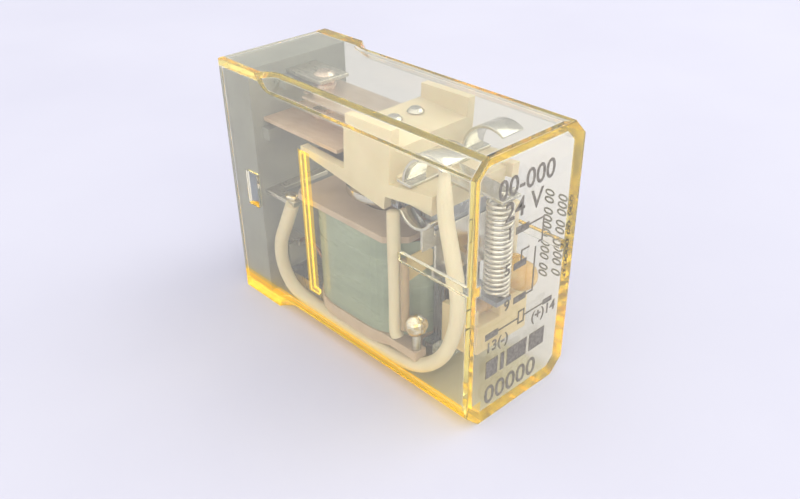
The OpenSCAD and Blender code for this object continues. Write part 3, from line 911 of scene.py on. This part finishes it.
def settle(
    piece: bpy.types.Object, finish: Finish, body: Body, *replaced: str
) -> bpy.types.Object:
    """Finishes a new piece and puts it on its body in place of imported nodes.

    Args:
        piece: The new piece.
        finish: Its finish.
        body: Body that it rides on.
        *replaced: Nodes that it stands for.

    Returns:
        The piece.
    """
    finish.dress(piece)
    if replaced:
        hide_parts(*replaced)
    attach(piece, body.value)
    log.info("made %s in %s", piece.name, finish.name)
    return piece


# ---------------------------------------------------------------- sub-assemblies


@dataclass
class PrintedEnd:
    """Wiring diagram, terminal numbers and plain marks on the closed end of the case."""

    film_mm: float = 0.035
    digit_mm: float = 1.6
    rating_mm: float = 2.6
    serial_mm: float = 3.0
    heavier_mm: float = 0.025
    side_mm: float = 1.5
    side_x_mm: float = 32.6
    side_z_mm: float = 19.6
    side_pitch_mm: float = 1.5
    row_mm: tuple[float, float] = (5.1, 7.1)
    block_mm: tuple[tuple[float, float], ...] = ((-4.7, -3.1), (-2.7, -2.2), (-1.8, 1.0), (1.4, 3.6))

    def numerals(self) -> list[tuple[str, str, float, float, float]]:
        """Name, text, height and lower left corner of each printed number."""
        small, rating, serial = self.digit_mm, self.rating_mm, self.serial_mm
        return [
            ("number_rest", "1", small, -2.9, 19.1),
            ("number_work", "5", small, -2.9, 15.5),
            ("number_common", "9", small, -2.7, 11.7),
            ("number_coil_minus", "13(-)", small, -4.9, 8.1),
            ("number_coil_plus", "(+)14", small, 1.4, 8.5),
            ("type_digits", "00-000", rating, -4.3, 23.2),
            ("rating_volts", "24 V", rating, -3.3, 20.9),
            ("serial_digits", "00000", serial, -4.8, 2.0),
        ]

    def side_rows(self) -> None:
        """Prints the faint rows that run down the far wall, seen from behind through the case."""
        side_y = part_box("housing")[1].y + self.film_mm * MM / 2
        downward = Matrix(((0, -1, 0), (0, 0, 1), (-1, 0, 0)))
        for index, text in enumerate(("00 0000 000 00", "000 00 0000 0")):
            corner = from_mouth([(self.side_x_mm + self.side_pitch_mm * index, 0, self.side_z_mm)])[0]
            corner.y = side_y
            name = f"side_row_{index + 1}"
            self.number(name, text, self.side_mm, corner, downward, FAINT_INK)

    def bars(self) -> None:
        """Prints the plain blocks that fill the row under the diagram."""
        face_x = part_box("label_print")[1].x
        film = bmesh.new()
        for left, right in self.block_mm:
            low = Vector((face_x - self.film_mm * MM, left * MM, self.row_mm[0] * MM))
            high = Vector((face_x, right * MM, self.row_mm[1] * MM))
            size = Matrix.Diagonal((*(high - low), 1.0))
            place = Matrix.Translation((low + high) / 2)
            bmesh.ops.create_cube(film, size=1.0, matrix=place @ size)
        settle(new_piece("plain_blocks", film, smooth=False), PRINT_INK, Body.CASE)

    def number(
        self, name: str, text: str, size_mm: float, start: Vector, turn: Matrix, ink: Finish
    ) -> None:
        """Prints one row of characters as a thin film.

        Args:
            name: Name of the piece.
            text: Characters to print.
            size_mm: Height of the characters' body.
            start: Lower left corner of the row.
            turn: Turns the row from the floor to its face.
            ink: Finish of the film.
        """
        curve = bpy.data.curves.new(name, "FONT")
        curve.body = text
        curve.size = size_mm * MM
        curve.offset = self.heavier_mm * MM
        curve.extrude = self.film_mm * MM / 2
        curve.resolution_u = 3
        lettered = bpy.data.objects.new(name + "_outline", curve)
        bpy.context.scene.collection.objects.link(lettered)
        bpy.context.view_layer.update()
        evaluated = lettered.evaluated_get(bpy.context.evaluated_depsgraph_get())
        film = bpy.data.meshes.new_from_object(evaluated)
        bpy.data.objects.remove(lettered)
        film.transform(Matrix.Translation(start) @ turn.to_4x4())
        film.name = name
        piece = bpy.data.objects.new(name, film)
        bpy.context.scene.collection.objects.link(piece)
        settle(piece, ink, Body.CASE)

    def build(self) -> None:
        """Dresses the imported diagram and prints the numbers."""
        dress_node("label_print", PRINT_INK)
        face_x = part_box("label_print")[1].x - self.film_mm * MM / 2
        upright = Matrix(((0, 0, 1), (1, 0, 0), (0, 1, 0)))
        for name, text, size_mm, y_mm, z_mm in self.numerals():
            start = Vector((face_x, y_mm * MM, z_mm * MM))
            self.number(name, text, size_mm, start, upright, PRINT_INK)
        self.bars()
        self.side_rows()


@dataclass
class ClearCase:
    """Snap-on cover moulded in clear resin."""

    edge_mm: float = 0.22

    def build(self) -> None:
        """Dresses the cover and rounds its edges, which are what catches the light."""
        dress_node("housing", CASE_RESIN, self.edge_mm)


@dataclass
class TerminalBase:
    """Grey base with its five blades and the two fixed contacts."""

    plastic_edge_mm: float = 0.15
    blade_edge_mm: float = 0.08

    def build(self) -> None:
        """Dresses the base, the blades and the contacts."""
        dress_node("base", BASE_PLASTIC, self.plastic_edge_mm)
        for blade in ("blade_nc", "blade_no", "blade_com", "blade_coil_near", "blade_coil_far"):
            finish = ARM_BRASS if blade == "blade_no" else BLADE_TIN
            dress_node(blade, finish, self.blade_edge_mm)
        for contact in ("nc_contact", "no_contact"):
            dress_node(contact, CONTACT_SILVER, self.blade_edge_mm)


@dataclass
class Magnet:
    """Iron frame, core and the spring clip that keeps the armature on its edge."""

    edge_mm: float = 0.12
    clip_edge_mm: float = 0.06

    def build(self) -> None:
        """Dresses the iron and the clip."""
        dress_node("yoke", YOKE_ZINC, self.edge_mm)
        dress_node("core", CLIP_NICKEL, self.edge_mm)
        dress_node("hinge_clip", CLIP_NICKEL, self.clip_edge_mm)


@dataclass
class Coil:
    """Bobbin, winding, tape and the leads that run down to the solder posts."""

    sleeve_mm: float = 0.65
    brown_mm: float = 0.44
    wire_mm: float = 0.18
    wander_mm: float = 1.9
    bead_mm: Point = (1.1, 1.1, 1.15)
    bead_inset_mm: float = 0.85
    bobbin_edge_mm: float = 0.15
    tape_edge_mm: float = 0.06
    flag_edge_mm: float = 0.03
    post_edge_mm: float = 0.05
    cream_route: tuple[Point, ...] = (
        (24.7, -5.25, 18.8),
        (24.7, -5.25, 14),
        (24.7, -5.25, 9),
        (24.7, -5.25, 5.9),
        (24.95, -5.2, 5.05),
    )
    brown_route: tuple[Point, ...] = ((25.8, -4.95, 14.2), (25.8, -4.95, 10), (25.8, -4.95, 6.2))
    white_route: tuple[Point, ...] = (
        (29.4, 4.6, 18),
        (29.4, 4.6, 15),
        (29.45, 4.55, 11.4),
        (29.6, 4.5, 9.95),
    )
    wire_route: tuple[Point, ...] = (
        (7.2, -3.2, 7.85),
        (8.6, -3.3, 8.6),
        (10, -3.2, 8),
        (11.1, -3, 6.6),
        (11.7, -2.8, 5.9),
    )

    def sleeve(self, name: str, route: Sequence[Point], r_mm: float, finish: Finish) -> None:
        """Makes one sleeved lead, slightly uneven along its length, in place of its plain tube."""
        path = smooth_route(from_mouth(route), 24)

        def width(distance: float) -> float:
            """Radius of the sleeve, which wanders a little along its length."""
            return r_mm * MM * (0.96 + 0.03 * math.sin(distance / (self.wander_mm * MM)))

        piece = swept_tube(name + "_braid", path, width, 24)
        settle(piece, finish, Body.CASE, name)

    def wires(self) -> None:
        """Makes the two enamelled ends of the winding in place of their plain tubes."""
        for side, name in ((1, "coil_wire_near"), (-1, "coil_wire_far")):
            route = [(x, side * y, z) for x, y, z in self.wire_route]
            path = smooth_route(from_mouth(route), 12)
            piece = swept_tube(name, path, self.wire_mm * MM, 12)
            replaced = ("coil_leads",) if side > 0 else ()
            settle(piece, COPPER_WIRE, Body.CASE, *replaced)

    def beads(self) -> None:
        """Makes the solder drops on the two posts in place of their plain cones."""
        low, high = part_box("post_solder")
        for side, name in ((-1, "post_bead_near"), (1, "post_bead_far")):
            middle = (low + high) / 2
            centre = Vector((middle.x, side * (high.y - self.bead_inset_mm * MM), middle.z))
            piece = bead(name, centre, Vector(self.bead_mm) * MM)
            replaced = ("post_solder",) if side < 0 else ()
            settle(piece, SOLDER, Body.CASE, *replaced)

    def build(self) -> None:
        """Dresses the coil and makes its leads and beads."""
        dress_node("bobbin", BOBBIN_PLASTIC, self.bobbin_edge_mm)
        dress_node("winding", COPPER_WIRE)
        dress_node("coil_tape", COIL_TAPE, self.tape_edge_mm)
        dress_node("lead_flag", PAPER_TAPE, self.flag_edge_mm)
        dress_node("coil_posts", LEAD_TIN, self.post_edge_mm)
        self.sleeve("lead_sleeve_cream", self.cream_route, self.sleeve_mm, CREAM_SLEEVE)
        self.sleeve("lead_sleeve_brown", self.brown_route, self.brown_mm, BROWN_SLEEVE)
        self.sleeve("lead_sleeve_white", self.white_route, self.sleeve_mm, CREAM_SLEEVE)
        self.wires()
        self.beads()


@dataclass
class MovingGroup:
    """Armature, its moulded card and the contact leaf."""

    iron_edge_mm: float = 0.1
    card_edge_mm: float = 0.14
    metal_edge_mm: float = 0.06

    def build(self) -> None:
        """Dresses everything that turns on the hinge."""
        dress_node("armature", YOKE_ZINC, self.iron_edge_mm)
        dress_node("armature_card", CARD_PLASTIC, self.card_edge_mm)
        for node in ("tail_plate", "curled_ears", "leaf_rivets"):
            dress_node(node, CLIP_NICKEL, self.metal_edge_mm)
        for node in ("leaf_root", "contact_leaf"):
            dress_node(node, LEAF_BRONZE, self.metal_edge_mm)
        dress_node("moving_contact", CONTACT_SILVER, self.metal_edge_mm)


@dataclass
class BraidedLead:
    """Sleeved flexible lead from the common blade, round the magnet, up to the armature.

    It is one piece that runs from the case up to the armature.
    """

    sleeve_mm: float = 0.74
    end_mm: float = 0.5
    taper_mm: float = 2.2
    wander_mm: float = 2.3
    bead_mm: Point = (0.85, 0.62, 0.4)
    route: tuple[Point, ...] = (
        (8.9, -5.1, 13.6),
        (7.7, -5.2, 11),
        (6.3, -5.2, 8),
        (6.2, -5.15, 5.2),
        (7.7, -5.1, 2.9),
        (11, -5.05, 2.15),
        (16, -5.05, 2.1),
        (21, -5.05, 2.1),
        (25.5, -4.95, 2.2),
        (28.4, -4.7, 3.1),
        (30.8, -4.5, 5.8),
        (32, -4.35, 10),
        (31.9, -4.35, 13.6),
        (31.2, -4.4, 17),
        (30.5, -4.4, 19.8),
        (30.3, -4.4, 21.5),
        (30.1, -4.3, 23.2),
        (29.7, -3.9, 24),
        (28.8, -3.4, 24.5),
    )
    bend_from_mm: float = 19.0
    bend_to_mm: float = 23.4

    def build(self) -> None:
        """Makes the lead and its solder drop."""
        path = smooth_route(from_mouth(self.route), 16)
        total = sum((b - a).length for a, b in zip(path, path[1:]))

        def width(distance: float) -> float:
            """Radius that narrows where the braid leaves the sleeve."""
            left = (total - distance) / (self.taper_mm * MM)
            share = min(1.0, max(0.0, left - 0.6))
            fullness = 1 + 0.025 * math.sin(distance / (self.wander_mm * MM))
            return MM * (self.end_mm + (self.sleeve_mm - self.end_mm) * share) * fullness * 0.98

        piece = swept_tube("pigtail_braid", path, width, 28)
        CREAM_SLEEVE.dress(piece)
        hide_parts("pigtail_sleeve", "pigtail_end")
        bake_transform(piece)
        log.info("made %s, %.1f mm long", piece.name, total / MM)
        low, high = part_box("pigtail_solder")
        centre = (low + high) / 2
        drop = bead("pigtail_bead", centre, Vector(self.bead_mm) * MM)
        settle(drop, SOLDER, Body.CASE, "pigtail_solder")


@dataclass
class ReturnSpring:
    """Close-wound tension spring between the lug of the iron frame and the tail plate."""

    wire_mm: float = 0.16
    coil_mm: float = 1.14
    turns: int = 19
    foot_mm: Point = (32.0, -0.3, 11.25)
    top_mm: float = 21.0

    def route(self) -> list[Vector]:
        """Helix with a hook at each end."""
        x, y, z0 = self.foot_mm
        steps = self.turns * 24
        points = [(x, y, z0 - 0.75), (x + 0.1, y, z0 - 0.35), (x + 0.5, y, z0 - 0.05)]
        for i in range(steps + 1):
            angle = 2 * math.pi * self.turns * i / steps
            height = z0 + 0.2 + (self.top_mm - 0.4 - z0) * i / steps
            across, along = self.coil_mm * math.cos(angle), self.coil_mm * math.sin(angle)
            points.append((x + across, y + along, height))
        points += [(x + 0.6, y, self.top_mm + 0.1), (x + 0.25, y, self.top_mm + 0.7)]
        return from_mouth(points)

    def build(self) -> None:
        """Makes the spring."""
        piece = swept_tube("return_spring_wire", self.route(), self.wire_mm * MM, 10)
        SPRING_WIRE.dress(piece)
        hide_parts("return_spring")
        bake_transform(piece)
        log.info("made %s with %d turns", piece.name, self.turns)


@dataclass
class Indicator:
    """Amber lamp on its moulded seat, with its leads and series resistor."""

    holder_edge_mm: float = 0.12
    resistor_edge_mm: float = 0.1

    def build(self) -> None:
        """Dresses the lamp group."""
        dress_node("lamp_holder", HOLDER_PLASTIC, self.holder_edge_mm)
        dress_node("lamp_lens", LAMP_EPOXY)
        dress_node("lamp_leads", LEAD_TIN)
        dress_node("lamp_resistor", RESISTOR_LACQUER, self.resistor_edge_mm)


# ---------------------------------------------------------------- studio


@dataclass
class Studio:
    """Pale floor, soft light and the camera."""

    floor_m: float = 3.0
    sky: str = "FBFBFF"
    back: str = "9A9CA6"
    front: Point = (0.52, -0.76, 0.39)
    sky_strength: float = 1.7
    camera_mm: Point = (75.12, -51.57, 55.47)
    azimuth_deg: float = 47.36
    elevation_deg: float = 33.5
    roll_deg: float = -0.96
    lens_mm: float = 38.46
    rise: float = 0.05
    inner_bounces: int = 40
    clear_bounces: int = 24

    def floor(self) -> None:
        """Lays the paper."""
        sheet = bmesh.new()
        bmesh.ops.create_grid(sheet, x_segments=8, y_segments=8, size=self.floor_m / 2)
        piece = new_piece("studio_floor", sheet)
        piece.location.z = -0.02 * MM
        STUDIO_PAPER.dress(piece)

    def world(self) -> None:
        """Soft pale surroundings, brighter on the side that the relay is seen from."""
        made = bpy.data.worlds.new("studio_surroundings")
        bpy.context.scene.world = made
        made.use_nodes = True
        tree = made.node_tree
        tree.nodes.clear()
        where = add_node(tree, "ShaderNodeTexCoord").outputs["Generated"]
        facing = add_node(
            tree, "ShaderNodeVectorMath", {0: where, 1: self.front}, operation="DOT_PRODUCT"
        )
        share = add_node(
            tree,
            "ShaderNodeMapRange",
            {"Value": facing.outputs["Value"], "From Min": -0.7, "From Max": 0.7},
        )
        ramp = add_node(tree, "ShaderNodeValToRGB", {"Fac": share.outputs["Result"]})
        low, high = ramp.color_ramp.elements
        low.position, low.color = 0.0, linear(self.back)
        high.position, high.color = 1.0, linear(self.sky)
        light = add_node(
            tree,
            "ShaderNodeBackground",
            {"Color": ramp.outputs["Color"], "Strength": self.sky_strength},
        )
        add_node(tree, "ShaderNodeOutputWorld", {"Surface": light.outputs[0]})

    def panel(self, name: str, place: Point, size_m: float, watts: float, colour: str) -> None:
        """Hangs one soft light panel that faces the relay.

        Args:
            name: Name of the light.
            place: Position, in metres.
            size_m: Side of the square panel.
            watts: Power.
            colour: Colour as hex.
        """
        data = bpy.data.lights.new(name, "AREA")
        data.shape = "SQUARE"
        data.size = size_m
        data.energy = watts
        data.color = linear(colour)[:3]
        lamp = bpy.data.objects.new(name, data)
        lamp.location = place
        aim = Vector((0, 0, 0.012)) - Vector(place)
        lamp.rotation_euler = aim.to_track_quat("-Z", "Y").to_euler()
        bpy.context.scene.collection.objects.link(lamp)

    def camera(self) -> None:
        """Sets the camera where the relay shows its blades' side, its top and its printed end."""
        azimuth, elevation = math.radians(self.azimuth_deg), math.radians(self.elevation_deg)
        forward = Vector(
            (
                -math.sin(azimuth) * math.cos(elevation),
                math.cos(azimuth) * math.cos(elevation),
                -math.sin(elevation),
            )
        )
        data = bpy.data.cameras.new("camera")
        data.sensor_width = 36
        data.lens = self.lens_mm
        data.shift_y = self.rise
        data.clip_start = 1 * MM
        camera = bpy.data.objects.new("camera", data)
        place = from_mouth([self.camera_mm])[0]
        turn = forward.to_track_quat("-Z", "Y").to_matrix().to_4x4()
        roll = Matrix.Rotation(math.radians(self.roll_deg), 4, "Z")
        camera.matrix_world = Matrix.Translation(place) @ turn @ roll
        bpy.context.scene.collection.objects.link(camera)
        bpy.context.scene.camera = camera

    def build(self) -> None:
        """Sets the whole studio up."""
        self.floor()
        self.world()
        self.panel("window_light", (0.2, 0.55, 0.6), 0.6, 2.3, "FFFFFF")
        self.panel("room_light", (0.6, -0.5, 0.4), 0.7, 1.7, "FFFBF4")
        self.camera()
        scene = bpy.context.scene
        scene.view_settings.view_transform = "Standard"
        # Light runs along the walls of the case by many inner reflections
        scene.cycles.max_bounces = self.inner_bounces
        scene.cycles.transmission_bounces = self.inner_bounces
        scene.cycles.glossy_bounces = self.inner_bounces
        scene.cycles.transparent_max_bounces = self.clear_bounces


def main() -> None:
    """Builds the relay and its studio."""
    logging.basicConfig(level=logging.INFO, format="%(name)s: %(message)s")
    Studio().build()
    for part in (
        TerminalBase(),
        Magnet(),
        Coil(),
        MovingGroup(),
        BraidedLead(),
        ReturnSpring(),
        Indicator(),
        PrintedEnd(),
        ClearCase(),
    ):
        part.build()


if __name__ == "__main__":
    main()
